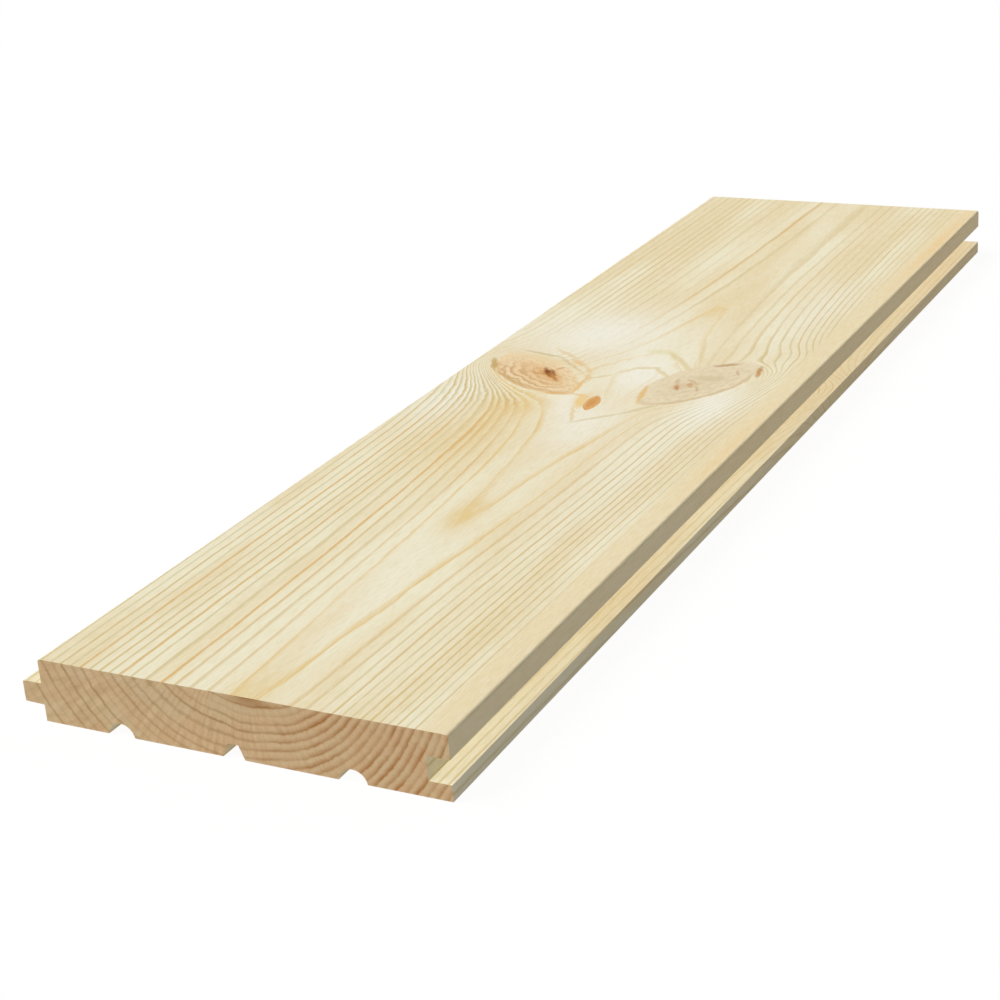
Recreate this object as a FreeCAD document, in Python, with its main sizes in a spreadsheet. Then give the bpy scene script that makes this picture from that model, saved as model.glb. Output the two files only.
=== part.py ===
"""Tongue and groove floor board of planed pine, one piece of stock lying face up.

X runs across the board from the tongue to the groove, Y along its length and Z up from its underside.
The origin is the middle of the underside, measured over the tongue. All sizes are in millimetres.
"""

import FreeCAD, Part
import os
import Sketcher

# Driving sizes: name, value and what it measures
SIZES = [
    ("board_length", 562.0, "length of the piece, end to end"),
    ("face_width", 140.0, "width of the face, which is what one laid board covers"),
    ("thickness", 21.0, "face to underside"),
    ("tongue_reach", 7.0, "how far the tongue stands out from the shoulders"),
    ("tongue_root", 7.3, "thickness of the tongue where it meets the board"),
    ("tongue_taper", 0.2, "how far each side of the tongue slopes in from root to nose"),
    ("tongue_nose_radius", 0.4, "easing of the two edges of the nose"),
    ("joint_slack", 0.3, "play above and below the tongue in a neighbour's groove"),
    ("groove_spare_depth", 0.4, "how much deeper the groove is than the tongue is long"),
    ("groove_drop", 7.8, "face to the roof of the groove"),
    ("arris_radius", 1.0, "rounding of the two long edges of the face"),
    ("round_relief_radius", 4.8, "radius of the two outer relief channels"),
    ("round_relief_depth", 4.1, "depth of the two outer relief channels"),
    ("middle_relief_mouth", 7.6, "width of the middle relief channel at the underside"),
    ("middle_relief_roof", 3.8, "width of the middle relief channel at its roof"),
    ("middle_relief_depth", 4.6, "depth of the middle relief channel"),
    ("relief_pitch", 40.0, "middle channel to each outer one, centre to centre"),
    ("relief_offset", 1.5, "middle channel from the middle of the board, towards the groove"),
]

# Sizes worked out from the driving ones, as expressions on the sheet
SHOULDER = "(sizes.face_width - sizes.tongue_reach) / 2"
GROOVE_EDGE = "(sizes.face_width + sizes.tongue_reach) / 2"
GROOVE_DEPTH = "sizes.tongue_reach + sizes.groove_spare_depth"
GROOVE_HEIGHT = "sizes.tongue_root + 2 * sizes.joint_slack"
GROOVE_FLOOR = "sizes.thickness - sizes.groove_drop - sizes.tongue_root - 2 * sizes.joint_slack"
TONGUE_UNDERSIDE = "sizes.thickness - sizes.groove_drop - sizes.tongue_root - sizes.joint_slack"
TONGUE_TIP = "sizes.tongue_root - 2 * sizes.tongue_taper"
ROUND_RELIEF_CENTRE = "sizes.relief_pitch - sizes.relief_offset"
ROUND_RELIEF_SINK = "sizes.round_relief_radius - sizes.round_relief_depth"
MIDDLE_RELIEF_LEFT = "sizes.middle_relief_mouth / 2 - sizes.relief_offset"
MIDDLE_RELIEF_SLOPE = "(sizes.middle_relief_mouth - sizes.middle_relief_roof) / 2"

# Points of a sketch's line or circle, its horizontal axis and its origin
START, END, CENTRE = 1, 2, 3
HORIZONTAL_AXIS = -1
ORIGIN = (-1, START)

# Two places closer than this are the same place
SAME_PLACE = 0.001


def make_sheet(doc):
    """The sheet of driving sizes, one alias a row."""
    sheet = doc.addObject("Spreadsheet::Sheet", "sizes")
    for row, (alias, value, meaning) in enumerate(SIZES, start=1):
        sheet.set(f"A{row}", meaning)
        sheet.set(f"B{row}", str(value))
        sheet.setAlias(f"B{row}", alias)
    return sheet


def amount(owner, expression):
    """What an expression on the sheet comes to."""
    return float(owner.evalExpression(expression))


def new_section_sketch(body, name):
    """A sketch across the board, on the plane halfway along it: sketch x is X and sketch y is Z."""
    sketch = body.newObject("Sketcher::SketchObject", name)
    plane = next(f for f in body.Origin.OriginFeatures if f.Role == "XZ_Plane")
    sketch.AttachmentSupport = [(plane, "")]
    sketch.MapMode = "FlatFace"
    return sketch


def draw_outline(sketch, corners):
    """A closed outline of straight lines, each from one corner to the next."""
    points = [FreeCAD.Vector(x, z, 0) for x, z in corners]
    ends = points[1:] + points[:1]
    lines = [sketch.addGeometry(Part.LineSegment(a, b)) for a, b in zip(points, ends)]
    for line, following in zip(lines, lines[1:] + lines[:1]):
        sketch.addConstraint(Sketcher.Constraint("Coincident", line, END, following, START))
    return lines


def draw_box(sketch, left, floor, width, height):
    """A rectangle from its lower left corner, with its lines in the order bottom, right, top, left."""
    right, roof = left + width, floor + height
    lines = draw_outline(sketch, [(left, floor), (right, floor), (right, roof), (left, roof)])
    for line, direction in zip(lines, ("Horizontal", "Vertical", "Horizontal", "Vertical")):
        sketch.addConstraint(Sketcher.Constraint(direction, line))
    return lines


def bind(sketch, name, kind, places, expression):
    """Adds a dimension to the sketch and ties it to the sheet."""
    index = sketch.addConstraint(Sketcher.Constraint(kind, *places, amount(sketch, expression)))
    sketch.renameConstraint(index, name)
    sketch.setExpression(f"Constraints.{name}", expression)


def run_full_length(body, kind, name, sketch):
    """Pads or pockets a section along the whole board, half of it each way."""
    feature = body.newObject(kind, name)
    feature.Profile = (sketch, [""])
    feature.SideType = "Symmetric"
    feature.setExpression("Length", "sizes.board_length")
    sketch.Visibility = False
    return feature


def add_blank(body, sheet):
    """The planed blank: the full face width by the full thickness."""
    sketch = new_section_sketch(body, "blank_section")
    left = -amount(sheet, SHOULDER)
    bottom, right, _, _ = draw_box(sketch, left, 0, sheet.face_width, sheet.thickness)
    sketch.addConstraint(Sketcher.Constraint("PointOnObject", bottom, START, HORIZONTAL_AXIS))
    bind(sketch, "shoulder", "DistanceX", (bottom, START, *ORIGIN), SHOULDER)
    bind(sketch, "width", "DistanceX", (bottom, START, bottom, END), "sizes.face_width")
    bind(sketch, "height", "DistanceY", (right, START, right, END), "sizes.thickness")
    return run_full_length(body, "PartDesign::Pad", "blank", sketch)


def tongue_corners(sheet):
    """Root bottom, root top, nose top and nose bottom of the tongue's section, as (x, z)."""
    root = -amount(sheet, SHOULDER)
    nose = root - sheet.tongue_reach
    bottom = amount(sheet, TONGUE_UNDERSIDE)
    top = bottom + sheet.tongue_root
    taper = sheet.tongue_taper
    return [(root, bottom), (root, top), (nose, top - taper), (nose, bottom + taper)]


def add_tongue(body, sheet):
    """The tongue on the left edge: slightly thinner at its nose, so that it enters a groove easily."""
    sketch = new_section_sketch(body, "tongue_section")
    root, upper, nose, lower = draw_outline(sketch, tongue_corners(sheet))
    sketch.addConstraint(Sketcher.Constraint("Vertical", root))
    sketch.addConstraint(Sketcher.Constraint("Vertical", nose))
    bind(sketch, "shoulder", "DistanceX", (root, START, *ORIGIN), SHOULDER)
    bind(sketch, "underside", "DistanceY", (*ORIGIN, root, START), TONGUE_UNDERSIDE)
    bind(sketch, "root", "DistanceY", (root, START, root, END), "sizes.tongue_root")
    bind(sketch, "reach", "DistanceX", (upper, END, upper, START), "sizes.tongue_reach")
    bind(sketch, "tip", "DistanceY", (nose, END, nose, START), TONGUE_TIP)
    bind(sketch, "taper", "DistanceY", (lower, END, lower, START), "sizes.tongue_taper")
    return run_full_length(body, "PartDesign::Pad", "tongue", sketch)


def cut_groove(body, sheet):
    """The groove in the right edge, which takes a neighbour's tongue with slack all round."""
    sketch = new_section_sketch(body, "groove_section")
    depth, height = amount(sheet, GROOVE_DEPTH), amount(sheet, GROOVE_HEIGHT)
    left, floor = amount(sheet, GROOVE_EDGE) - depth, amount(sheet, GROOVE_FLOOR)
    bottom, right, _, _ = draw_box(sketch, left, floor, depth, height)
    bind(sketch, "edge", "DistanceX", (*ORIGIN, bottom, END), GROOVE_EDGE)
    bind(sketch, "depth", "DistanceX", (bottom, START, bottom, END), GROOVE_DEPTH)
    bind(sketch, "floor", "DistanceY", (*ORIGIN, bottom, END), GROOVE_FLOOR)
    bind(sketch, "height", "DistanceY", (right, START, right, END), GROOVE_HEIGHT)
    return run_full_length(body, "PartDesign::Pocket", "groove", sketch)


def cut_round_reliefs(body, sheet):
    """The two outer channels of the underside, a little under half round: one cut, and its copy."""
    sketch = new_section_sketch(body, "round_relief_section")
    centre = FreeCAD.Vector(-amount(sheet, ROUND_RELIEF_CENTRE), -amount(sheet, ROUND_RELIEF_SINK), 0)
    across = FreeCAD.Vector(0, 0, 1)
    ring = sketch.addGeometry(Part.Circle(centre, across, sheet.round_relief_radius))
    bind(sketch, "radius", "Radius", (ring,), "sizes.round_relief_radius")
    bind(sketch, "centre", "DistanceX", (ring, CENTRE, *ORIGIN), ROUND_RELIEF_CENTRE)
    bind(sketch, "sink", "DistanceY", (ring, CENTRE, *ORIGIN), ROUND_RELIEF_SINK)
    cut = run_full_length(body, "PartDesign::Pocket", "round_relief", sketch)
    pair = body.newObject("PartDesign::LinearPattern", "round_relief_pair")
    pair.Originals = [cut]
    pair.Direction = (sketch, ["H_Axis"])
    pair.setExpression("Length", "2 * sizes.relief_pitch")
    pair.Occurrences = 2
    body.Tip = pair
    return pair


def cut_middle_relief(body, sheet):
    """The middle channel of the underside, with sloping walls and a flat roof."""
    sketch = new_section_sketch(body, "middle_relief_section")
    left, slope = -amount(sheet, MIDDLE_RELIEF_LEFT), amount(sheet, MIDDLE_RELIEF_SLOPE)
    mouth_right, height = left + sheet.middle_relief_mouth, sheet.middle_relief_depth
    corners = [(left, 0), (mouth_right, 0), (mouth_right - slope, height), (left + slope, height)]
    mouth, right_wall, roof, left_wall = draw_outline(sketch, corners)
    sketch.addConstraint(Sketcher.Constraint("PointOnObject", mouth, START, HORIZONTAL_AXIS))
    sketch.addConstraint(Sketcher.Constraint("Horizontal", mouth))
    sketch.addConstraint(Sketcher.Constraint("Horizontal", roof))
    bind(sketch, "left_edge", "DistanceX", (mouth, START, *ORIGIN), MIDDLE_RELIEF_LEFT)
    bind(sketch, "mouth", "DistanceX", (mouth, START, mouth, END), "sizes.middle_relief_mouth")
    bind(sketch, "roof", "DistanceX", (roof, END, roof, START), "sizes.middle_relief_roof")
    bind(sketch, "slope", "DistanceX", (left_wall, END, left_wall, START), MIDDLE_RELIEF_SLOPE)
    bind(sketch, "depth", "DistanceY", (right_wall, START, right_wall, END), "sizes.middle_relief_depth")
    return run_full_length(body, "PartDesign::Pocket", "middle_relief", sketch)


def long_edges_at(shape, places):
    """Names of the edges that run along the board at the given (x, z) places."""
    names = []
    for number, edge in enumerate(shape.Edges, start=1):
        tips = [FreeCAD.Vector(vertex.X, 0, vertex.Z) for vertex in edge.Vertexes]
        for x, z in places:
            spot = FreeCAD.Vector(x, 0, z)
            if all(tip.distanceToPoint(spot) < SAME_PLACE for tip in tips):
                names.append(f"Edge{number}")
    return names


def ease_edges(body, name, places, radius):
    """Rounds the edges that run along the board at the given places, with a radius from the sheet."""
    base = body.Tip
    edges = long_edges_at(base.Shape, places)
    if len(edges) != len(places):
        raise RuntimeError(f"{name} found {len(edges)} edges of {len(places)}")
    fillet = body.newObject("PartDesign::Fillet", name)
    fillet.Base = (base, edges)
    fillet.setExpression("Radius", radius)
    return fillet


def make_board(doc, sheet):
    """The whole board: blank, tongue, groove, relief channels and eased edges."""
    body = doc.addObject("PartDesign::Body", "board_body")
    body.Label = "board"
    for add_feature in (add_blank, add_tongue, cut_groove, cut_round_reliefs, cut_middle_relief):
        add_feature(body, sheet)
        doc.recompute()

    shoulder, groove_edge = -amount(sheet, SHOULDER), amount(sheet, GROOVE_EDGE)
    face_arrises = [(shoulder, sheet.thickness), (groove_edge, sheet.thickness)]
    ease_edges(body, "face_arrises", face_arrises, "sizes.arris_radius")
    doc.recompute()

    nose_corners = tongue_corners(sheet)[2:]
    ease_edges(body, "tongue_nose", nose_corners, "sizes.tongue_nose_radius")
    doc.recompute()
    return body


def check(doc, bodies):
    """Stops on a failed object, or on a body whose shape isn't one valid solid."""
    for thing in doc.Objects:
        failed = [state for state in thing.State if state in ("Invalid", "Error")]
        if failed:
            raise RuntimeError(f"{thing.Name} failed: {failed}")
    for body in bodies:
        shape = body.Shape
        if shape.isNull() or not shape.isValid() or len(shape.Solids) != 1:
            raise RuntimeError(f"{body.Label} is not one valid solid")


def main():
    doc = FreeCAD.newDocument("tongue_and_groove_board")
    sheet = make_sheet(doc)
    doc.recompute()
    bodies = [make_board(doc, sheet)]
    check(doc, bodies)
    os.makedirs("parts", exist_ok=True)
    for body in bodies:
        body.Shape.exportStep(f"parts/{body.Label}.step")
        print(body.Label, "volume", round(body.Shape.Volume, 1), "box", body.Shape.BoundBox)


main()
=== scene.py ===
"""Tongue and groove pine floor board, lying face up on a plain pale floor.

The wood is one solid pattern, so that its rings meet at every edge: rings round a pith that lies above the
face, pushed aside by three knots that grow from one whorl. Places in the wood are in millimetres, in the
frame of the board: X across from tongue to groove, Y along the grain, Z up from the underside.
"""

import bpy
import math
from collections import namedtuple
from mathutils import Euler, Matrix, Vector


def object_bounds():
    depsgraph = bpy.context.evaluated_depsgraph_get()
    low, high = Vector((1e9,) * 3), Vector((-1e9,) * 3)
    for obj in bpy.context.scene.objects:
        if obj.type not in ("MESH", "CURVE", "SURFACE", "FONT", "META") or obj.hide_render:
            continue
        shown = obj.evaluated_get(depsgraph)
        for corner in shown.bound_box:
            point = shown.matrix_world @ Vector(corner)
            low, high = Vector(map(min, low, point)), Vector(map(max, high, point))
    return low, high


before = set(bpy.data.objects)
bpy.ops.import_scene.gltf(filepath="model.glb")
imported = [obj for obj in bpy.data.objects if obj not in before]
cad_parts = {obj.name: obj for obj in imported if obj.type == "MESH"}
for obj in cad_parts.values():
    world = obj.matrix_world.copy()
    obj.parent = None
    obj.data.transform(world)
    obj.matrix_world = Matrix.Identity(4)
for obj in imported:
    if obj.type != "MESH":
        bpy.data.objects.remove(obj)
cad_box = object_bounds()

MM = 0.001
FACE = cad_box[1].z / MM
NEAR_END = cad_box[0].y / MM

# Camera of the photograph: place in metres, turn in degrees, lens in millimetres
CAMERA_PLACE = (0.32398, -0.71229, 0.29248)
CAMERA_TURN = (67.710, 3.795, 26.449)
CAMERA_LENS = 74.835
SENSOR = 36.0

# Light on a level surface: the shares of the sky, of a lamp that casts shadows on everything and of one that
# casts none on the board, and how much of that one's light casts shadows on the floor
SKY_SHARE = 0.26
SHADOW_LAMP_SHARE = 0.12
EVEN_LAMP_SHARE = 0.62
FLOOR_SHADOW_SHARE = 0.12

# Where the lamps are, as seen from the board, and how broad they look in degrees
LAMP_FROM = Vector((-0.48, -0.26, 0.84))
LAMP_SPREAD = 30.0

# The floor: its size and how far under the board it lies in metres, its grey, and how white it shows
FLOOR_SIZE = 8.0
FLOOR_DROP = 0.0003
FLOOR_GREY = 0.63
FLOOR_WHITENING = 0.78

# Pith of the tree: its place across the board, and its height over the face. It falls from the near end to
# the whorl, climbs again beyond it, and lies a little higher than that on the way
PITH_X = 7.2
PITH_NEAR_HEIGHT, PITH_NEAR_FALL, PITH_NEAR_BEND = 25.85, 0.00885, 0.000026
PITH_FAR_HEIGHT, PITH_FAR_CLIMB = 27.8, 5.84
PITH_FAR_START, PITH_FAR_LENGTH = 16.0, 65.0
PITH_RISE, PITH_RISE_AT, PITH_RISE_SPREAD = 0.65, 45.0, 22.0
PITH_BLEND = 1.0

# Growth rings: how far from the pith ring 0 starts, how far apart the rings are outside it and inside it, and
# how much closer together they are towards the groove
FIRST_RING = 26.33
OUTER_SPACING, INNER_SPACING = 2.85, 2.05
RING_SKEW = 0.14

# On the groove's side the rings lie further out; on the tongue's side they start closer together, and are
# wider apart beyond a few of them
GROOVE_SHIFT, GROOVE_SHIFT_FROM, GROOVE_SHIFT_TO = 3.0, 5.0, 14.0
TONGUE_EXTRA, TONGUE_EXTRA_TO = 0.38, 3.0
TONGUE_LACK, TONGUE_LACK_FROM, TONGUE_LACK_TO = 0.75, 11.0, 20.0
TONGUE_SIDE_FROM, TONGUE_SIDE_TO = -2.0, -8.0

# Rings swell outwards round the whorl, most at this distance from the pith, and not at the pith itself
SWELL, SWELL_AT, SWELL_SPREAD = 10.0, 27.0, 18.0
SWELL_Y, SWELL_LENGTH = -8.0, 80.0
SWELL_GROWS_TO = 12.0

# On the groove's side that swell fades out on the way to the right knot, and from the knot on the rings swell
# again, further from the pith. The two sides meet within this distance of the pith
GROOVE_CALM_FROM, GROOVE_CALM_TO = -150.0, -30.0
FAR_SWELL, FAR_SWELL_AT, FAR_SWELL_SPREAD = 14.0, 45.0, 20.0
FAR_SWELL_FROM, FAR_SWELL_TO = 10.0, 50.0
SIDES_MEET = 2.0

# Rings that stand out: which ring, on which side of the pith and in which half of the board it does so, and
# what is added to the weight and to the orange tint of its late wood
StrongRing = namedtuple("StrongRing", "ring side half weight tint")
STRONG_RINGS = (StrongRing(-2, "both", "all", 0.20, 0.0),
                StrongRing(-1, "both", "all", 0.20, 0.0),
                StrongRing(0, "both", "near", -0.04, 0.40),
                StrongRing(1, "tongue", "far", 0.35, 0.45),
                StrongRing(2, "tongue", "near", 0.15, 0.35),
                StrongRing(2, "groove", "far", 0.25, 0.30),
                StrongRing(3, "tongue", "near", 0.45, 0.90),
                StrongRing(3, "groove", "near", 0.20, 0.15),
                StrongRing(6, "tongue", "near", 0.35, 0.35),
                StrongRing(7, "groove", "near", 0.30, 0.30),
                StrongRing(10, "tongue", "near", 0.40, 0.40),
                StrongRing(9, "tongue", "far", 0.35, 0.10))

# Where the sides named above are complete, which start at the pith, and where the halves of the board start
# and are complete
TONGUE_SIDE_X, GROOVE_SIDE_X = 0.0, 15.0
NEAR_HALF_FROM, NEAR_HALF_TO = -30.0, -80.0
FAR_HALF_FROM, FAR_HALF_TO = 30.0, 70.0

# Late wood, in shares of a ring: where its line starts, where it is darkest and where it begins to end; the
# same where it is broad and soft; and how much later it starts in the inmost rings
LATE_START, LATE_FULL, LATE_END = 0.62, 0.88, 0.95
SOFT_START, SOFT_FULL, SOFT_END = 0.20, 0.75, 0.85
INMOST_DELAY = 0.10

# Weight and orange tint of a ring's line: the least, and the most that chance adds
LINE_WEIGHT, LINE_WEIGHT_LUCK = 0.42, 0.30
LINE_TINT, LINE_TINT_LUCK = 0.05, 0.45
FACE_SEED, END_SEED = 7.0, 3.0

# Contrast of the lines: how patchy it is, how much more there is at the near end, and how much more far from
# the pith, down to some depth
PATCHY_LEAST, PATCHY_REST = 0.55, 0.9
NEAR_END_CONTRAST = 0.22
OUTER_CONTRAST, OUTER_FROM, OUTER_TO = 0.55, 26.0, 42.0
OUTER_DEPTH, OUTER_DEPTH_END = 9.0, 13.0

# The groove edge is clear wood, where no rings show
CLEAR_FROM, CLEAR_TO, CLEAR_DEPTH = 62.5, 66.0, 8.0

# Noise in the wood: how far apart its features are across and along the grain, and the fineness and roughness
# of its detail. The first four vary the tints, the fibres are relief, and the others bend rings and knots
Mottle = namedtuple("Mottle", "across along detail roughness")
CLOUDS = Mottle(20.0, 120.0, 2.0, 0.5)
PATCHES = Mottle(14.0, 60.0, 2.0, 0.5)
FLAMES = Mottle(3.0, 40.0, 2.0, 0.5)
STREAKS = Mottle(1.0 / 1.2, 7.0, 3.0, 0.8)
FIBRES = Mottle(1.0 / 1.7, 24.0, 3.0, 0.6)
LONG_BENDS = Mottle(22.0, 150.0, 2.0, 0.5)
SHORT_BENDS = Mottle(5.0, 28.0, 2.0, 0.5)
WAVES = Mottle(5.0, 5.0, 2.0, 0.5)
KNOT_BENDS = Mottle(8.0, 8.0, 2.0, 0.5)

# How much of a ring's width the long and the short bends come to
LONG_BEND, SHORT_BEND = 0.5, 0.22

# Knots: centre on the face, half length and half width of the oval, turn of its long axis, drift of the
# centre along that axis for each millimetre of depth, how far it pushes the rings aside, how soon they
# straighten out, how much less it pushes them on its far side, where they came from, and its heart's offset
Knot = namedtuple("Knot", "x y length width turn drift push reach ease source_x source_y heart_x heart_y")
WHORL_X, WHORL_Y = 4.5, -30.0
LEFT_KNOT = Knot(-33.5, -1.0, 30.0, 13.2, 140.6, 1.7, 0.95, 2.2, 0.75, WHORL_X, WHORL_Y, 5.0, 1.0)
RIGHT_KNOT = Knot(33.5, 6.0, 32.0, 15.0, 65.8, 1.9, 0.75, 2.4, 0.92, WHORL_X, WHORL_Y, -3.0, -3.0)
PIN_KNOT = Knot(2.6, -27.0, 8.2, 2.9, 97.6, 0.5, 1.0, 2.5, 0.0, 2.6, -27.0, 0.0, 0.0)

# How leaf-shaped the ovals are: 2 is an ellipse, and less makes the tips sharper
KNOT_LEAF = 1.5

# Where a knot's near side ends and its far side is complete, and how much its outer tip counts as far
NEAR_SIDE_END, FAR_SIDE_FULL = -1.1, 0.75
TIP_IS_FAR = 0.30


def linear(red, green, blue):
    """A colour as seen on a screen, 0 to 255, as the light it stands for."""
    parts = [value / 255 for value in (red, green, blue)]
    light = [p / 12.92 if p <= 0.04045 else ((p + 0.055) / 1.055) ** 2.4 for p in parts]
    return (*light, 1.0)


PALE_WOOD = linear(236, 228, 199)
TAN_WOOD = linear(229, 212, 172)
FLAME_WOOD = linear(227, 204, 152)
# Pale wood, and also the colour of the painted light on the top of the groove's lower lip
WHITE_WOOD_AND_LIP_LIGHT = linear(241, 238, 224)
CLEAR_WOOD = linear(232, 215, 175)
SOFT_LINE = linear(209, 197, 148)
STRONG_LINE = linear(219, 181, 118)
GOLDEN_LINE = linear(226, 198, 138)
RESIN = linear(234, 200, 142)
# Colour of the painted shade on the upright walls
WALL_PAINTED_SHADE = linear(235, 208, 156)
END_PALE = linear(227, 199, 155)
END_WARM = linear(227, 192, 147)
END_LIGHT = linear(242, 217, 174)
END_RAY = linear(204, 167, 121)
END_LINE = linear(176, 131, 81)
END_RED_LINE = linear(188, 130, 74)

# Looks of the knots: colours, the number of rings, and the shares of rings, speckles, rim and heart
KnotLook = namedtuple("KnotLook", "pale core dark rim heart rings ringing speckle rim_share heart_size")
LEFT_LOOK = KnotLook(linear(236, 213, 172), linear(228, 194, 144), linear(190, 140, 84),
                     linear(212, 172, 112), linear(196, 138, 78), 5.6, 0.60, 0.24, 0.7, 0.08)
RIGHT_LOOK = KnotLook(linear(230, 216, 184), linear(225, 209, 175), linear(196, 170, 126),
                      linear(206, 178, 128), linear(204, 164, 124), 4.0, 0.14, 0.32, 0.65, 0.04)
PIN_LOOK = KnotLook(linear(222, 168, 104), linear(212, 156, 90), linear(190, 128, 64),
                    linear(196, 140, 78), linear(208, 148, 84), 1.6, 0.2, 0.3, 0.4, 0.20)

# Rings of a knot, in shares of a ring: where late wood starts, where it is darkest and where it begins to end
KNOT_LATE_START, KNOT_LATE_FULL, KNOT_LATE_END = 0.25, 0.80, 0.88

# The rings and the rim show in full on the near side of a knot and by a small share on its far side, and fade
# out towards its outer tip. Distances are in half widths and half lengths of the oval
KNOT_FAR_SHARE, KNOT_FAR_AT, KNOT_NEAR_AT = 0.08, 0.5, -0.6
KNOT_TIP_NONE, KNOT_TIP_FULL = 0.95, 0.35

# How much noise bends a knot's rings, and what share of that its outline takes
KNOT_BEND, EDGE_BEND_SHARE = 0.42, 0.5

# Speckles of a knot: their length, width and depth in millimetres, how much noise makes one, and how detailed
# and how rough that noise is
SPECKLE_LENGTH, SPECKLE_WIDTH, SPECKLE_DEPTH = 4.0, 1.3, 3.0
SPECKLE_NONE, SPECKLE_FULL = 0.46, 0.62
SPECKLE_DETAIL, SPECKLE_ROUGHNESS = 3.0, 0.7

# How far out from its middle a knot has its core colour, its heart (in heart sizes), its rim and its outline
CORE_NONE, CORE_FULL = 0.95, 0.15
HEART_NONE, HEART_FULL = 1.8, 0.4
RIM_AT, RIM_SPREAD = 0.97, 0.06
KNOT_NONE, KNOT_FULL = 1.05, 0.96

# Soft tints of the wood: middle, half width and half length of an oval patch, and its share
Patch = namedtuple("Patch", "x y width length share")
WHITE_PATCHES = (Patch(-28.0, 54.0, 34.0, 36.0, 0.9), Patch(9.0, -52.0, 15.0, 26.0, 0.7),
                 Patch(9.0, 8.0, 15.0, 22.0, 0.8), Patch(-8.0, -31.0, 10.0, 16.0, 0.85),
                 Patch(-54.0, -34.0, 12.0, 30.0, 0.9), Patch(48.0, -18.0, 13.0, 28.0, 0.85),
                 Patch(44.0, -95.0, 16.0, 55.0, 0.35), Patch(50.0, 110.0, 12.0, 40.0, 0.5),
                 Patch(7.0, -190.0, 9.0, 90.0, 0.2))
FLAME_PATCHES = (Patch(-26.0, -68.0, 14.0, 44.0, 0.85), Patch(-26.0, -40.0, 13.0, 9.0, 0.6),
                 Patch(7.0, 105.0, 9.0, 30.0, 0.45), Patch(-2.0, -24.0, 4.0, 9.0, 0.7),
                 Patch(6.0, -141.0, 5.0, 13.0, 1.3), Patch(7.0, -281.0, 7.0, 16.0, 0.8))
RESIN_PATCHES = (Patch(70.0, 218.0, 2.6, 60.0, 0.8), Patch(70.5, -62.0, 2.2, 40.0, 0.5))

# Clouds: how much noise makes wood pale, how much makes it tan, and the lean, which makes the near end paler
# where it is below zero
CLOUD_PALE, CLOUD_TAN, CLOUD_LEAN = 0.34, 0.64, -0.06

# The other tints: how streaky the flames are and how orange they make the lines, the share of clear wood, how
# deep the resin goes, and how strongly streaks show
FLAME_LEAST, FLAME_REST, FLAME_TINT = 0.4, 1.2, 0.5
CLEAR_SHARE = 0.9
RESIN_DEPTH, RESIN_DEPTH_END = 8.0, 12.0
STREAK_STRENGTH = 1.7

# Painted shade: the upright walls are a little browner from this stretch of the board on, towards the far end
WALL_SHADE_FROM, WALL_SHADE_TO, WALL_SHADE_SHARE = -130.0, -60.0, 0.35

# Painted light: the top of the groove's lower lip, which the upper lip shades, is a little paler along the
# far half of the board
LIP_X, LIP_X_FULL = 62.0, 64.0
LIP_DEPTH, LIP_DEPTH_FULL = 12.5, 13.5
LIP_PAINTED_LIGHT_FROM, LIP_PAINTED_LIGHT_TO, LIP_PAINTED_LIGHT_SHARE = -30.0, 10.0, 0.22

# Where the lines are fainter, or stronger if the share is below zero
CALM_PATCHES = (Patch(-34.0, 58.0, 34.0, 34.0, 0.85), Patch(12.0, 30.0, 22.0, 30.0, 0.4),
                Patch(-46.0, -20.0, 20.0, 16.0, -0.3), Patch(-24.0, -32.0, 14.0, 10.0, -0.6),
                Patch(-42.0, 34.0, 26.0, 14.0, 0.5), Patch(49.0, -14.0, 9.0, 20.0, 0.6),
                Patch(11.0, -32.0, 15.0, 17.0, 1.1), Patch(24.0, 70.0, 16.0, 36.0, 0.35),
                Patch(-9.0, -85.0, 5.0, 32.0, -1.1), Patch(2.5, -95.0, 3.0, 36.0, 0.7),
                Patch(-0.5, -205.0, 3.5, 50.0, 0.5), Patch(-17.0, 180.0, 7.0, 110.0, 0.6),
                Patch(-4.0, 180.0, 5.0, 110.0, -0.5), Patch(-26.0, -40.0, 13.0, 8.0, 0.5))

# Where the rings are wavy: squeezed beside the left knot, and between the knots
WAVY_PATCHES = (Patch(-44.0, -26.0, 24.0, 17.0, 1.1), Patch(0.0, 20.0, 30.0, 14.0, 0.8))

# Where the late wood is broad and soft: in the flame before the left knot, and crowded up against that knot
SOFT_PATCHES = (Patch(-28.0, -68.0, 11.0, 26.0, 0.75), Patch(-48.0, -22.0, 18.0, 26.0, 1.0),
                Patch(-26.0, -34.0, 14.0, 12.0, 0.8))

# Marks on the face: the ends of a stroke, its half width, its colour and its share. Later marks lie over
# earlier ones
Stroke = namedtuple("Stroke", "x1 y1 x2 y2 width colour share")
SPLIT_BROWN, BARK_BROWN, RIM_ORANGE = linear(126, 66, 4), linear(190, 152, 76), linear(226, 184, 112)
PALE_ORANGE, THIN_LINE, FLECK = linear(226, 190, 130), linear(214, 198, 154), linear(188, 146, 98)
ARCH_LINE = linear(218, 198, 142)
LEFT_HEART_MARKS = (Stroke(-35.0, 6.0, -21.0, -6.5, 3.6, linear(206, 148, 76), 0.45),
                    Stroke(-32.5, 6.0, -26.5, -3.0, 1.4, SPLIT_BROWN, 1.0),
                    Stroke(-29.0, 1.0, -21.5, -7.0, 1.1, linear(180, 112, 44), 0.8),
                    Stroke(-29.5, 5.0, -25.0, -1.5, 0.9, SPLIT_BROWN, 0.8),
                    Stroke(-28.0, 5.5, -25.5, 9.0, 0.9, linear(190, 122, 72), 0.6),
                    Stroke(-38.0, 1.5, -31.0, -1.5, 0.9, linear(198, 136, 84), 0.6))
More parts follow.
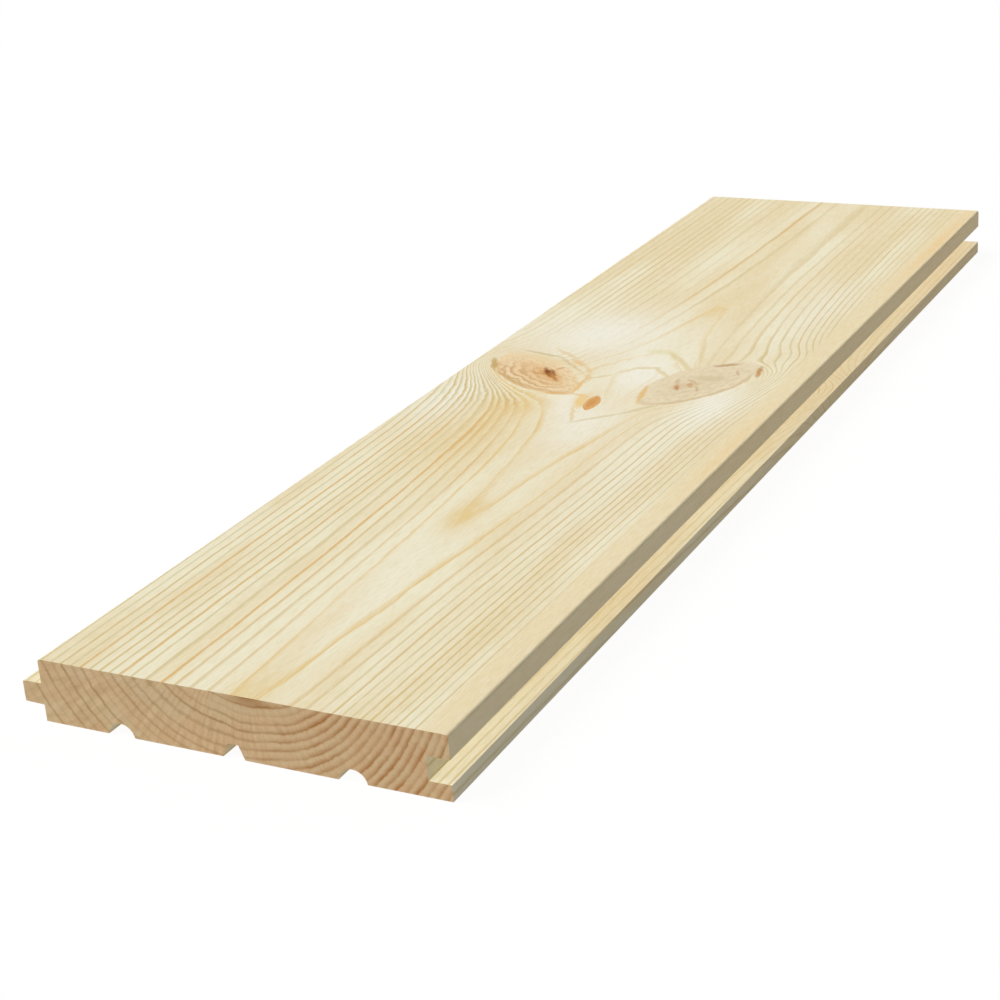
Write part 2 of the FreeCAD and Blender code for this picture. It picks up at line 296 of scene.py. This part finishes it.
LEFT_RIM_MARKS = (Stroke(-59.0, 12.0, -52.5, -1.0, 1.5, BARK_BROWN, 0.8),
                  Stroke(-51.5, -2.0, -30.0, -18.0, 0.9, BARK_BROWN, 0.5),
                  Stroke(-55.0, 21.0, -24.0, 13.0, 3.6, linear(230, 208, 164), 0.8),
                  Stroke(-51.0, 25.0, -32.0, 20.0, 1.1, linear(204, 182, 126), 0.7),
                  Stroke(-33.0, 21.0, -16.0, 5.0, 1.0, linear(214, 184, 130), 0.6),
                  Stroke(-11.5, -1.0, -9.5, -19.0, 1.2, RIM_ORANGE, 0.8),
                  Stroke(-9.5, -19.0, -22.0, -22.0, 1.0, RIM_ORANGE, 0.7),
                  Stroke(-9.0, -19.0, -1.0, -21.0, 1.5, RIM_ORANGE, 0.5),
                  Stroke(-38.0, 29.5, -25.0, 20.5, 1.3, PALE_ORANGE, 0.55),
                  Stroke(-26.0, 19.0, -18.0, 12.5, 1.8, PALE_ORANGE, 0.75),
                  Stroke(-17.0, 12.0, -12.0, 5.0, 1.4, PALE_ORANGE, 0.55),
                  Stroke(-13.0, 4.0, -9.5, -3.0, 1.5, PALE_ORANGE, 0.65))
RIGHT_KNOT_MARKS = (Stroke(51.0, 30.5, 53.5, 18.5, 1.3, linear(186, 132, 60), 0.85),
                    Stroke(15.5, -2.0, 19.5, -22.0, 1.1, RIM_ORANGE, 0.8),
                    Stroke(30.0, 11.0, 43.0, 13.0, 3.2, linear(208, 192, 150), 0.6),
                    Stroke(24.5, -2.5, 35.0, 5.5, 2.6, linear(214, 184, 140), 0.55),
                    Stroke(28.6, -4.5, 26.6, 0.8, 1.1, linear(180, 118, 56), 0.75),
                    Stroke(32.5, -0.5, 31.0, 4.5, 1.5, FLECK, 0.45),
                    Stroke(26.5, 1.5, 24.5, 8.0, 1.2, FLECK, 0.35),
                    Stroke(28.0, 8.5, 34.0, 4.5, 0.9, FLECK, 0.4),
                    Stroke(37.0, -4.0, 34.5, 2.0, 0.7, FLECK, 0.5),
                    Stroke(45.5, 18.0, 43.5, 24.0, 0.7, FLECK, 0.5),
                    Stroke(32.5, 26.0, 41.5, 31.5, 1.6, FLECK, 0.8))
ARCH_MARKS = (Stroke(17.5, 56.0, 26.5, 25.0, 1.0, ARCH_LINE, 0.6),
              Stroke(-1.0, 37.5, 14.0, 37.0, 3.2, linear(226, 219, 176), 0.7),
              Stroke(9.0, 37.5, 19.5, 27.0, 1.7, ARCH_LINE, 0.65),
              Stroke(17.0, 29.5, 25.0, 18.5, 1.5, ARCH_LINE, 0.65),
              Stroke(-2.0, 8.0, 4.0, 16.5, 1.2, ARCH_LINE, 0.45),
              Stroke(2.0, 15.5, 13.0, 18.5, 1.3, ARCH_LINE, 0.55),
              Stroke(10.5, 18.5, 20.0, 8.5, 1.5, ARCH_LINE, 0.65),
              Stroke(-11.0, -1.0, -3.0, 5.5, 1.2, ARCH_LINE, 0.6))
PIN_MARKS = (Stroke(-4.5, -19.0, -0.5, -33.0, 2.4, linear(234, 202, 140), 0.95),
             Stroke(-3.0, -32.0, 3.5, -48.0, 1.0, linear(226, 202, 150), 0.75),
             Stroke(3.5, -48.5, 20.0, -33.0, 1.2, THIN_LINE, 0.65),
             Stroke(18.5, -34.5, 29.0, -20.0, 1.5, THIN_LINE, 0.75))
STROKES = LEFT_HEART_MARKS + LEFT_RIM_MARKS + RIGHT_KNOT_MARKS + ARCH_MARKS + PIN_MARKS

# A stroke is an oval this much longer than its ends are apart. It fades from its middle to nothing at this
# squared distance, counted in its half length and half width
STROKE_REACH, STROKE_FADE = 1.15, 1.5

# How ragged the outlines of the marks are, and how deep the marks go into the wood
RAGGED, RAGGED_SIZE, RAGGED_ROUGHNESS, RAGGED_SEED = 2.2, 3.0, 0.7, 9.0
MARK_DEPTH, MARK_DEPTH_END = 1.5, 4.0

# End grain: how much and how finely its rings waver, and where the half with more and redder lines starts and
# is complete
END_BEND, END_BEND_SIZE, END_BEND_DETAIL = 0.42, 2.2, 3.0
REDDER_FROM, REDDER_TO = -10.0, 40.0

# Lines of the end grain, in shares of a ring: the middle and spread of the thin line and of the broad one
THIN_AT, THIN_SPREAD = 0.80, 0.14
BROAD_AT, BROAD_SPREAD, BROAD_SHARE = 0.58, 0.20, 0.6

# Weight of those lines: the least, what chance adds and what the redder half adds; and how patchy it is
END_WEIGHT, END_WEIGHT_LUCK, END_WEIGHT_REDDER = 0.15, 0.50, 0.20
END_PATCHY_LEAST, END_PATCHY_REST = 0.1, 1.6
END_PATCHES_ACROSS, END_PATCHES_DOWN, END_PATCHES_STEP = 9.0, 6.0, 0.37

# A dark blotch just under the face, at the end of its broad flame: its place, its half sizes and its share
BLOTCH_X, BLOTCH_WIDTH, BLOTCH_DEPTH, BLOTCH_HEIGHT, BLOTCH_SHARE = 9.0, 7.0, 0.6, 2.0, 0.75

# Rays out from the pith: how many to a radian, their length and roughness, how strongly they show, and how
# much less they do in the redder half; then the pores between them, and the warm clouds
RAYS_ROUND, RAYS_LENGTH, RAYS_ROUGHNESS = 34.0, 11.0, 0.65
RAY_STRENGTH, RAY_LACK = 2.2, 1.2
PORES_FINENESS, PORES_STRENGTH = 1.1, 0.8
WARM_ACROSS, WARM_DOWN, WARM_SEED = 14.0, 10.0, 5.0
WARM_NONE, WARM_FULL = 0.35, 0.65

# How rough the noise is that makes the pores, and that bends the growth lines of the end grain
END_NOISE_ROUGHNESS = 0.7

# Surface of the wood: roughness along the grain and how much more there is across it, shine, and fine fibres
ROUGHNESS, END_ROUGHNESS = 0.60, 0.12
SHINE = 0.10
FIBRE_STRENGTH, FIBRE_HEIGHT = 0.35, 0.06

# Places of the two colours and the result on a colour mixing node
MIX_FIRST, MIX_SECOND, MIX_RESULT = 6, 7, 2

# How squarely a surface has to face along or across the board to count as end grain or as a wall
ACROSS_GRAIN_FROM, ACROSS_GRAIN_TO = 0.5, 0.8
WALL_FROM, WALL_TO = 0.7, 0.9


class Field:
    """A number that varies through the wood: arithmetic on fields makes the nodes that work it out."""

    def __init__(self, tree, socket):
        self.tree = tree
        self.socket = socket

    def __add__(self, other):
        return calculate(self.tree, "ADD", self, other)

    def __sub__(self, other):
        return calculate(self.tree, "SUBTRACT", self, other)

    def __rsub__(self, other):
        return calculate(self.tree, "SUBTRACT", other, self)

    def __mul__(self, other):
        return calculate(self.tree, "MULTIPLY", self, other)

    def __truediv__(self, other):
        return calculate(self.tree, "DIVIDE", self, other)

    def __pow__(self, other):
        return calculate(self.tree, "POWER", self, other)

    def __neg__(self):
        return calculate(self.tree, "MULTIPLY", self, -1.0)

    def of(self, operation, *others):
        return calculate(self.tree, operation, self, *others)

    def clipped(self):
        """This number, but no more than 1."""
        return self.of("MINIMUM", 1.0)


def plug(tree, value, socket):
    """Links a field or a colour's output to a socket, or sets the socket to a plain value."""
    if isinstance(value, Field):
        tree.links.new(value.socket, socket)
    elif isinstance(value, bpy.types.NodeSocket):
        tree.links.new(value, socket)
    else:
        socket.default_value = value


def calculate(tree, operation, *values):
    """One step of arithmetic as a node."""
    node = tree.nodes.new("ShaderNodeMath")
    node.operation = operation
    for value, socket in zip(values, node.inputs):
        plug(tree, value, socket)
    return Field(tree, node.outputs[0])


def length(a, b):
    """Distance from the origin of a point given by two fields."""
    return (a * a + b * b).of("SQRT")


def ramp(value, start, end):
    """0 below start and 1 above end, with a smooth rise between, or a fall where start is above end."""
    node = value.tree.nodes.new("ShaderNodeMapRange")
    node.interpolation_type = "SMOOTHSTEP"
    low, high = sorted((start, end))
    plug(value.tree, value, node.inputs["Value"])
    node.inputs["From Min"].default_value = low
    node.inputs["From Max"].default_value = high
    node.inputs["To Min"].default_value = 0.0 if start < end else 1.0
    node.inputs["To Max"].default_value = 1.0 if start < end else 0.0
    return Field(value.tree, node.outputs["Result"])


def bell(value, middle, spread):
    """1 at the middle, falling to nearly nothing at twice the spread."""
    offset = (value - middle) / spread
    return (-(offset * offset)).of("EXPONENT")


def oval(x, y, patch):
    """1 in the middle of a soft patch, fading to nothing well outside it."""
    across = x.of("MULTIPLY_ADD", 1.0 / patch.width, -patch.x / patch.width)
    along = y.of("MULTIPLY_ADD", 1.0 / patch.length, -patch.y / patch.length)
    return (-along.of("MULTIPLY_ADD", along, across * across)).of("EXPONENT") * patch.share


def together(x, y, patches):
    """What several soft patches come to."""
    total = oval(x, y, patches[0])
    for patch in patches[1:]:
        total = total + oval(x, y, patch)
    return total


def stroke_share(x, y, stroke):
    """How much a stroke covers a point: full in its middle, and none outside it."""
    start, end = Vector((stroke.x1, stroke.y1)), Vector((stroke.x2, stroke.y2))
    middle, half = (start + end) / 2, (end - start) / 2 * STROKE_REACH
    along = half / half.length_squared
    aside = Vector((-half.y, half.x)) / (half.length * stroke.width)
    how_far = x.of("MULTIPLY_ADD", along.x, -middle.dot(along))
    how_far = y.of("MULTIPLY_ADD", along.y, how_far)
    how_wide = x.of("MULTIPLY_ADD", aside.x, -middle.dot(aside))
    how_wide = y.of("MULTIPLY_ADD", aside.y, how_wide)
    out = how_far.of("MULTIPLY_ADD", how_far, how_wide * how_wide)
    return ramp(out, STROKE_FADE, 0.0) * stroke.share


def noise(x, y, z, detail=2.0, roughness=0.5):
    """Soft noise from 0 to 1, with features about one unit of its coordinates across."""
    tree = next(part.tree for part in (x, y, z) if isinstance(part, Field))
    joined = tree.nodes.new("ShaderNodeCombineXYZ")
    for value, socket in zip((x, y, z), joined.inputs):
        plug(tree, value, socket)
    node = tree.nodes.new("ShaderNodeTexNoise")
    tree.links.new(joined.outputs[0], node.inputs["Vector"])
    node.inputs["Scale"].default_value = 1.0
    node.inputs["Detail"].default_value = detail
    node.inputs["Roughness"].default_value = roughness
    return Field(tree, node.outputs[0])


def mottled(x, y, depth, kind):
    """Noise through the wood, drawn out along the grain."""
    return noise(x / kind.across, y / kind.along, depth / kind.across, kind.detail, kind.roughness)


def chance(value, seed):
    """A random number from 0 to 1 for each whole number."""
    tree = value.tree
    node = tree.nodes.new("ShaderNodeTexWhiteNoise")
    node.noise_dimensions = "1D"
    plug(tree, value + seed, node.inputs["W"])
    return Field(tree, node.outputs["Value"])


def blend(factor, first, second):
    """The first colour where the factor is 0, the second where it is 1."""
    tree = factor.tree
    node = tree.nodes.new("ShaderNodeMix")
    node.data_type = "RGBA"
    plug(tree, factor, node.inputs["Factor"])
    plug(tree, first, node.inputs[MIX_FIRST])
    plug(tree, second, node.inputs[MIX_SECOND])
    return node.outputs[MIX_RESULT]


def place_in_wood(tree):
    """X, Y and depth below the face in millimetres, whether a point is on an upright wall along the board,
    and how much of the surface is cut across the grain.
    """
    coordinates = tree.nodes.new("ShaderNodeTexCoord")
    place = tree.nodes.new("ShaderNodeSeparateXYZ")
    facing = tree.nodes.new("ShaderNodeSeparateXYZ")
    tree.links.new(coordinates.outputs["Object"], place.inputs[0])
    tree.links.new(coordinates.outputs["Normal"], facing.inputs[0])
    x, y, z = (Field(tree, socket) / MM for socket in place.outputs)
    wall = ramp(Field(tree, facing.outputs["X"]).of("ABSOLUTE"), WALL_FROM, WALL_TO)
    across_grain = ramp(Field(tree, facing.outputs["Y"]).of("ABSOLUTE"), ACROSS_GRAIN_FROM, ACROSS_GRAIN_TO)
    return x, y, FACE - z, wall, across_grain


def knot_place(x, y, depth, knot):
    """Where a point is in a knot's oval: along it, across it, and how far out, 1 being the outline."""
    along = Vector((math.cos(math.radians(knot.turn)), math.sin(math.radians(knot.turn))))
    from_x = x - knot.x - depth * (along.x * knot.drift)
    from_y = y - knot.y - depth * (along.y * knot.drift)
    lengthwise = (from_x * along.x + from_y * along.y) / knot.length
    crosswise = (from_y * along.x - from_x * along.y) / knot.width
    aside = (crosswise.of("ABSOLUTE") ** KNOT_LEAF).of("MAXIMUM", crosswise * crosswise)
    return lengthwise, crosswise, (lengthwise * lengthwise + aside).of("SQRT")


def far_way(knot, crosswise):
    """How far a point is across a knot's oval, counted towards the far end of the board."""
    return crosswise * math.copysign(1.0, math.cos(math.radians(knot.turn)))


def push_aside(x, y, knots):
    """The place that a point had before the knots drew the rings out with them."""
    moved_x, moved_y = x, y
    for knot, (lengthwise, crosswise, out) in knots:
        far = far_way(knot, crosswise) + lengthwise.of("MAXIMUM", 0.0) * TIP_IS_FAR
        far_side = ramp(far / out, NEAR_SIDE_END, FAR_SIDE_FULL) * knot.ease
        pull = (1.0 - far_side) * knot.push / (out.of("MAXIMUM", 1.0) ** knot.reach)
        moved_x = moved_x + (knot.source_x - x) * pull
        moved_y = moved_y + (knot.source_y - y) * pull
    return moved_x, moved_y


def pith_height(y):
    """How high the pith runs over the face: falling to the whorl, and climbing again beyond it."""
    from_near_end = y - NEAR_END
    fall = from_near_end * PITH_NEAR_FALL + from_near_end * from_near_end * PITH_NEAR_BEND
    near = PITH_NEAR_HEIGHT - fall
    climb = ((PITH_FAR_START - y) / PITH_FAR_LENGTH).of("EXPONENT") * PITH_FAR_CLIMB
    rise = bell(y, PITH_RISE_AT, PITH_RISE_SPREAD) * PITH_RISE
    return near.of("SMOOTH_MAX", PITH_FAR_HEIGHT - climb + rise, PITH_BLEND)


def ring_number(x, y, depth, knots):
    """The ring that a point is in, as a running number, with its distance and angle from the pith."""
    x, y = push_aside(x, y, knots)
    sideways = x - PITH_X
    reach = sideways.of("ABSOLUTE")
    offset = (y - SWELL_Y) / SWELL_LENGTH
    groove_side = ramp(sideways, -SIDES_MEET, SIDES_MEET)
    even = bell(reach, SWELL_AT, SWELL_SPREAD) * SWELL
    swell = even - even * groove_side * ramp(y, GROOVE_CALM_FROM, GROOVE_CALM_TO)
    far = bell(reach, FAR_SWELL_AT, FAR_SWELL_SPREAD) * ramp(y, FAR_SWELL_FROM, FAR_SWELL_TO)
    swell = swell + far * groove_side * FAR_SWELL
    swell = swell / (offset * offset + 1.0) * (reach / SWELL_GROWS_TO).clipped()
    sideways = sideways - sideways.of("SIGN") * swell
    sideways = sideways - ramp(sideways, GROOVE_SHIFT_FROM, GROOVE_SHIFT_TO) * GROOVE_SHIFT
    below = pith_height(y) + depth
    distance = length(sideways, below)
    beyond = distance - FIRST_RING
    outer = beyond.of("MAXIMUM", 0.0) / OUTER_SPACING * (sideways / distance * RING_SKEW + 1.0)
    inner = beyond.of("MINIMUM", 0.0) / INNER_SPACING
    uneven = ramp(beyond, 0.0, TONGUE_EXTRA_TO) * TONGUE_EXTRA
    uneven = uneven - ramp(beyond, TONGUE_LACK_FROM, TONGUE_LACK_TO) * TONGUE_LACK
    number = outer + inner + uneven * ramp(sideways, TONGUE_SIDE_FROM, TONGUE_SIDE_TO)
    return number, distance, sideways.of("ARCTAN2", below)


def late_wood(number, x, y, depth):
    """The darker outer part of each ring: how much it covers a point, how orange and how golden it is."""
    ring = number.of("FLOOR")
    through = number - ring
    inmost = ramp(ring, 0.0, -1.0)
    late = ramp(through - inmost * INMOST_DELAY, LATE_START, LATE_FULL) * ramp(through, 1.0, LATE_END)
    soft = ramp(through, SOFT_START, SOFT_FULL) * ramp(through, 1.0, SOFT_END)
    late = late + (soft - late) * together(x, y, SOFT_PATCHES).clipped()
    luck = chance(ring, FACE_SEED)
    weight, tint = luck * LINE_WEIGHT_LUCK + LINE_WEIGHT, luck * LINE_TINT_LUCK + LINE_TINT
    sides = {"tongue": ramp(x, PITH_X, TONGUE_SIDE_X), "groove": ramp(x, PITH_X, GROOVE_SIDE_X)}
    halves = {"near": ramp(y, NEAR_HALF_FROM, NEAR_HALF_TO), "far": ramp(y, FAR_HALF_FROM, FAR_HALF_TO)}
    for strong in STRONG_RINGS:
        here = ring.of("COMPARE", strong.ring, 0.5)
        here = here * sides.get(strong.side, 1.0) * halves.get(strong.half, 1.0)
        weight, tint = weight + here * strong.weight, tint + here * strong.tint
    patchy = mottled(x, y, depth, PATCHES) * PATCHY_REST + PATCHY_LEAST
    near_end = (y / NEAR_END) * NEAR_END_CONTRAST + 1.0
    far_out = ramp((x - PITH_X).of("ABSOLUTE"), OUTER_FROM, OUTER_TO)
    outer = far_out * ramp(depth, OUTER_DEPTH_END, OUTER_DEPTH) * OUTER_CONTRAST + 1.0
    contrast = (1.0 - together(x, y, CALM_PATCHES)) * near_end * outer * patchy * (1.0 - clear_wood(x, depth))
    return late * weight * contrast.of("MAXIMUM", 0.0), tint.clipped(), inmost


def clear_wood(x, depth):
    """1 in the clear wood of the groove's upper lip."""
    return ramp(x, CLEAR_FROM, CLEAR_TO) * ramp(depth, CLEAR_DEPTH + 1.0, CLEAR_DEPTH)


def long_grain(number, x, y, depth, wall):
    """Planed wood along the grain: pale early wood, tan late wood, the fibres of both, painted shade on the
    walls and painted light on the groove's lower lip.
    """
    line, tint, golden = late_wood(number, x, y, depth)
    cloud = ramp(mottled(x, y, depth, CLOUDS) + (y / NEAR_END) * CLOUD_LEAN, CLOUD_PALE, CLOUD_TAN)
    wood = blend(cloud, PALE_WOOD, TAN_WOOD)
    wood = blend(together(x, y, WHITE_PATCHES).clipped(), wood, WHITE_WOOD_AND_LIP_LIGHT)
    flame = together(x, y, FLAME_PATCHES) * (mottled(x, y, depth, FLAMES) * FLAME_REST + FLAME_LEAST)
    wood = blend(flame.clipped(), wood, FLAME_WOOD)
    wood = blend(clear_wood(x, depth) * CLEAR_SHARE, wood, CLEAR_WOOD)
    # Painted shade: a browner tint on the upright walls, towards the far end
    wood = blend(wall * ramp(y, WALL_SHADE_FROM, WALL_SHADE_TO) * WALL_SHADE_SHARE, wood, WALL_PAINTED_SHADE)
    # Painted light: the top of the groove's lower lip is made paler against the upper lip's shade
    lip = ramp(x, LIP_X, LIP_X_FULL) * ramp(depth, LIP_DEPTH, LIP_DEPTH_FULL) * (1.0 - wall)
    wood = blend(lip * ramp(y, LIP_PAINTED_LIGHT_FROM, LIP_PAINTED_LIGHT_TO) * LIP_PAINTED_LIGHT_SHARE, wood, WHITE_WOOD_AND_LIP_LIGHT)
    resin = together(x, y, RESIN_PATCHES) * ramp(depth, RESIN_DEPTH_END, RESIN_DEPTH)
    wood = blend(resin.clipped(), wood, RESIN)
    tint = (tint + flame * FLAME_TINT).clipped()
    line_colour = blend(golden, blend(tint, SOFT_LINE, STRONG_LINE), GOLDEN_LINE)
    wood = blend(line.clipped(), wood, line_colour)
    streaks = mottled(x, y, depth, STREAKS)
    wood = blend(((streaks - 0.5) * STREAK_STRENGTH).of("MAXIMUM", 0.0), wood, SOFT_LINE)
    return blend(((0.5 - streaks) * STREAK_STRENGTH).of("MAXIMUM", 0.0), wood, WHITE_WOOD_AND_LIP_LIGHT)


def end_grain(number, distance, angle, x, depth):
    """Wood cut across the grain: browner, with a thin dark line to every ring and rays out from the pith."""
    waver = noise(x / END_BEND_SIZE, depth / END_BEND_SIZE, 0.0, END_BEND_DETAIL, END_NOISE_ROUGHNESS)
    number = number + (waver - 0.5) * END_BEND
    ring = number.of("FLOOR")
    through = number - ring
    redder = ramp(x, REDDER_FROM, REDDER_TO)
    line = bell(through, THIN_AT, THIN_SPREAD) + bell(through, BROAD_AT, BROAD_SPREAD) * redder * BROAD_SHARE
    patches = noise(x / END_PATCHES_ACROSS, depth / END_PATCHES_DOWN, ring * END_PATCHES_STEP)
    weight = chance(ring, END_SEED) * END_WEIGHT_LUCK + redder * END_WEIGHT_REDDER + END_WEIGHT
    weight = weight * (patches * END_PATCHY_REST + END_PATCHY_LEAST)
    blotch = bell(x, BLOTCH_X, BLOTCH_WIDTH) * bell(depth, BLOTCH_DEPTH, BLOTCH_HEIGHT) * BLOTCH_SHARE
    rays = noise(angle * RAYS_ROUND, distance / RAYS_LENGTH, 0.0, roughness=RAYS_ROUGHNESS)
    pores = noise(x * PORES_FINENESS, depth * PORES_FINENESS, 0.0, roughness=END_NOISE_ROUGHNESS)
    crossed = (rays - 0.5) * (RAY_STRENGTH - redder * RAY_LACK) + (pores - 0.5) * PORES_STRENGTH
    warm = ramp(noise(x / WARM_ACROSS, depth / WARM_DOWN, WARM_SEED), WARM_NONE, WARM_FULL)
    wood = blend(warm, END_PALE, END_WARM)
    wood = blend(crossed.of("MAXIMUM", 0.0).clipped(), wood, END_RAY)
    wood = blend((-crossed).of("MAXIMUM", 0.0).clipped(), wood, END_LIGHT)
    dark = (line * weight + blotch).clipped()
    return blend(dark, wood, blend(redder, END_LINE, END_RED_LINE))


def add_knot(colour, knot, place, look, x, y, depth):
    """Lays a knot over the wood: its own rings round its heart, speckles along it and a darker rim."""
    lengthwise, crosswise, out = place
    turn = math.radians(knot.turn)
    heart_along = (knot.heart_x * math.cos(turn) + knot.heart_y * math.sin(turn)) / knot.length
    heart_aside = (knot.heart_y * math.cos(turn) - knot.heart_x * math.sin(turn)) / knot.width
    bend = (mottled(x, y, depth, KNOT_BENDS) - 0.5) * KNOT_BEND
    off = 1.0 - out.clipped()
    ringed = length(lengthwise - off * heart_along, crosswise - off * heart_aside) + bend
    through = (ringed * look.rings).of("FRACT")
    late = ramp(through, KNOT_LATE_START, KNOT_LATE_FULL) * ramp(through, 1.0, KNOT_LATE_END)
    near_side = ramp(far_way(knot, crosswise), KNOT_FAR_AT, KNOT_NEAR_AT)
    near_side = near_side * (1.0 - KNOT_FAR_SHARE) + KNOT_FAR_SHARE
    near_side = near_side * ramp(lengthwise, KNOT_TIP_NONE, KNOT_TIP_FULL)
    along, aside = lengthwise * (knot.length / SPECKLE_LENGTH), crosswise * (knot.width / SPECKLE_WIDTH)
    specks = noise(along, aside, depth / SPECKLE_DEPTH, SPECKLE_DETAIL, SPECKLE_ROUGHNESS)
    speckle = ramp(specks, SPECKLE_NONE, SPECKLE_FULL)
    body = blend(ramp(ringed, CORE_NONE, CORE_FULL), look.pale, look.core)
    body = blend(speckle * look.speckle, body, look.dark)
    body = blend(late * near_side * look.ringing, body, look.dark)
    edge = out + bend * EDGE_BEND_SHARE
    body = blend(bell(edge, RIM_AT, RIM_SPREAD) * near_side * look.rim_share, body, look.rim)
    heart = ramp(ringed, look.heart_size * HEART_NONE, look.heart_size * HEART_FULL)
    body = blend(heart, body, look.heart)
    return blend(ramp(edge, KNOT_NONE, KNOT_FULL), colour, body)


def add_marks(colour, x, y, depth):
    """Draws the marks on the wood just below the face, with ragged outlines."""
    near_face = ramp(depth, MARK_DEPTH_END, MARK_DEPTH)
    shift_x = noise(x / RAGGED_SIZE, y / RAGGED_SIZE, 0.0, roughness=RAGGED_ROUGHNESS) - 0.5
    shift_y = noise(x / RAGGED_SIZE, y / RAGGED_SIZE, RAGGED_SEED, roughness=RAGGED_ROUGHNESS) - 0.5
    ragged_x, ragged_y = x + shift_x * RAGGED, y + shift_y * RAGGED
    for stroke in STROKES:
        colour = blend(stroke_share(ragged_x, ragged_y, stroke) * near_face, colour, stroke.colour)
    return colour


def make_wood():
    """Planed pine: pale early wood with tan late wood lines, three knots, and browner end grain."""
    material = bpy.data.materials.new("pine")
    material.use_nodes = True
    tree = material.node_tree
    shader = tree.nodes["Principled BSDF"]
    x, y, depth, wall, across_grain = place_in_wood(tree)
    looks = ((LEFT_KNOT, LEFT_LOOK), (RIGHT_KNOT, RIGHT_LOOK), (PIN_KNOT, PIN_LOOK))
    knots = [(knot, knot_place(x, y, depth, knot)) for knot, _ in looks]

    number, distance, angle = ring_number(x, y, depth, knots)
    number = number + (mottled(x, y, depth, LONG_BENDS) - 0.5) * LONG_BEND
    number = number + (mottled(x, y, depth, SHORT_BENDS) - 0.5) * SHORT_BEND
    number = number + (mottled(x, y, depth, WAVES) - 0.5) * together(x, y, WAVY_PATCHES)
    colour = long_grain(number, x, y, depth, wall)
    for (knot, place), (_, look) in zip(knots, looks):
        colour = add_knot(colour, knot, place, look, x, y, depth)
    colour = add_marks(colour, x, y, depth)
    colour = blend(across_grain, colour, end_grain(number, distance, angle, x, depth))
    tree.links.new(colour, shader.inputs["Base Color"])

    fibres = mottled(x, y, depth, FIBRES)
    plug(tree, across_grain * END_ROUGHNESS + ROUGHNESS, shader.inputs["Roughness"])
    shader.inputs["Specular IOR Level"].default_value = SHINE
    bump = tree.nodes.new("ShaderNodeBump")
    bump.inputs["Strength"].default_value = FIBRE_STRENGTH
    bump.inputs["Distance"].default_value = FIBRE_HEIGHT * MM
    plug(tree, fibres, bump.inputs["Height"])
    tree.links.new(bump.outputs[0], shader.inputs["Normal"])
    return material


def make_floor():
    """A pale floor that shows nearly white and keeps a faint shadow of the board."""
    material = bpy.data.materials.new("floor_white")
    material.use_nodes = True
    tree = material.node_tree
    tree.nodes.clear()
    output = tree.nodes.new("ShaderNodeOutputMaterial")
    matt = tree.nodes.new("ShaderNodeBsdfDiffuse")
    matt.inputs["Color"].default_value = (FLOOR_GREY, FLOOR_GREY, FLOOR_GREY, 1.0)
    glow = tree.nodes.new("ShaderNodeEmission")
    mix = tree.nodes.new("ShaderNodeMixShader")
    glow.inputs["Strength"].default_value = (1.0 - FLOOR_GREY * (1.0 - FLOOR_WHITENING)) / FLOOR_WHITENING
    plug(tree, seen_directly(tree) * FLOOR_WHITENING, mix.inputs[0])
    tree.links.new(matt.outputs[0], mix.inputs[1])
    tree.links.new(glow.outputs[0], mix.inputs[2])
    tree.links.new(mix.outputs[0], output.inputs["Surface"])
    bpy.ops.mesh.primitive_plane_add(size=FLOOR_SIZE, location=(0, 0, -FLOOR_DROP))
    floor = bpy.context.object
    floor.name = "floor"
    floor.data.materials.append(material)
    return floor


def seen_directly(tree):
    """1 for what the camera, a reflection or a clear surface sees, and 0 for what only lights the board."""
    path = tree.nodes.new("ShaderNodeLightPath")
    names = ("Is Camera Ray", "Is Glossy Ray", "Is Transmission Ray")
    camera, reflection, clear = (Field(tree, path.outputs[name]) for name in names)
    return camera.of("MAXIMUM", reflection).of("MAXIMUM", clear)


def light_scene(floor):
    """A white sky and broad lamps from the left and front. Most of their light reaches the board evenly,
    without the shade that one lip of the groove would cast on the other, and only part of it casts the
    board's shadow on the floor.
    """
    world = bpy.data.worlds.new("studio")
    bpy.context.scene.world = world
    world.use_nodes = True
    tree = world.node_tree
    sky = tree.nodes["Background"]
    sky.inputs["Color"].default_value = (1.0, 1.0, 1.0, 1.0)
    plug(tree, seen_directly(tree) * (1.0 - SKY_SHARE) + SKY_SHARE, sky.inputs["Strength"])
    add_lamp("shadow_lamp", SHADOW_LAMP_SHARE, True)
    add_lamp("board_lamp", EVEN_LAMP_SHARE, False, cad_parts["board"])
    add_lamp("floor_lamp", EVEN_LAMP_SHARE - FLOOR_SHADOW_SHARE, False, floor)
    add_lamp("floor_shadow_lamp", FLOOR_SHADOW_SHARE, True, floor)


def add_lamp(name, share, casts_shadows, receiver=None):
    """A broad distant lamp that gives a level surface, or the receiver alone, this share of its light."""
    toward = LAMP_FROM.normalized()
    light = bpy.data.lights.new(name, "SUN")
    light.energy = math.pi * share / toward.z
    light.angle = math.radians(LAMP_SPREAD)
    light.use_shadow = casts_shadows
    lamp = bpy.data.objects.new(name, light)
    lamp.rotation_mode = "QUATERNION"
    lamp.rotation_quaternion = toward.to_track_quat("Z", "Y")
    bpy.context.scene.collection.objects.link(lamp)
    if receiver:
        lit = bpy.data.collections.new(f"lit_by_{name}")
        lit.objects.link(receiver)
        lamp.light_linking.receiver_collection = lit


def place_camera():
    """The photograph's viewpoint."""
    camera = bpy.data.cameras.new("camera")
    camera.lens = CAMERA_LENS
    camera.sensor_width = SENSOR
    eye = bpy.data.objects.new("camera", camera)
    eye.location = CAMERA_PLACE
    eye.rotation_euler = Euler([math.radians(turn) for turn in CAMERA_TURN], "XYZ")
    bpy.context.scene.collection.objects.link(eye)
    bpy.context.scene.camera = eye


def dress_board():
    """Gives the board its wood."""
    wood = make_wood()
    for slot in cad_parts["board"].material_slots:
        slot.material = wood


dress_board()
light_scene(make_floor())
place_camera()
bpy.context.scene.view_settings.view_transform = "Standard"
